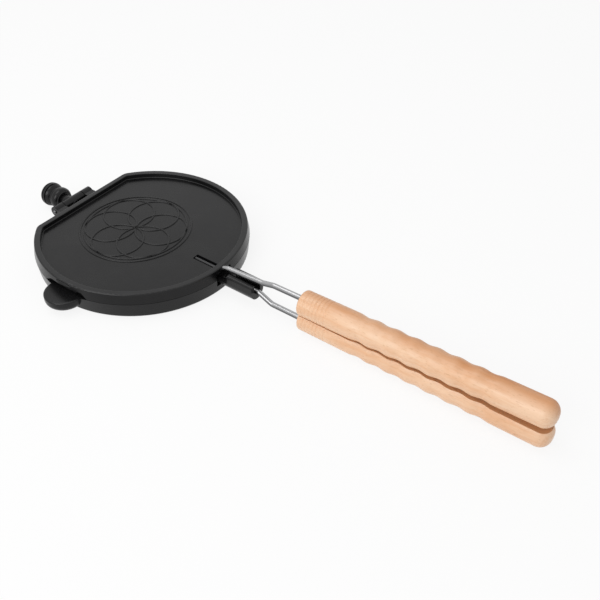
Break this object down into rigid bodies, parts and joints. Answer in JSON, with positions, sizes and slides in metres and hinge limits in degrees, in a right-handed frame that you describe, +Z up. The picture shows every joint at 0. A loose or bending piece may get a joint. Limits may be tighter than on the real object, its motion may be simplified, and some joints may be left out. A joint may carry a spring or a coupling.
{
  "type": "waffle cone iron",
  "caption": "Hand-held cast iron for baking thin waffle cones: hinged round plates with an overflow lip, a ribbed knob, bent steel rods and turned wooden grips.",
  "frame": {"origin": "centre of the flat underside of the lower plate, on the table", "axes": "+X from the hinge towards the grips, +Y along the hinge pin away from the overflow lip, +Z up"},
  "size_m": [0.4989, 0.1979, 0.0403],
  "materials": {
    "iron": "seasoned black",
    "pin": "dark steel",
    "rod": "bright wire",
    "grip": "turned beech"
  },
  "bodies": {
    "lower_half": {"lower_plate": "iron", "pivot_knob": "iron", "lower_rod": "rod", "lower_grip": "grip"},
    "upper_half": {"upper_plate": "iron", "hinge_pin": "pin", "upper_rod": "rod", "upper_grip": "grip"}
  },
  "joints": [
    {"name": "opening", "type": "hinge", "parent": "lower_half", "child": "upper_half", "pos_m": [-0.0882, 0, 0.0142], "axis": [0, -1, 0], "range_deg": [0, 115]}
  ]
}
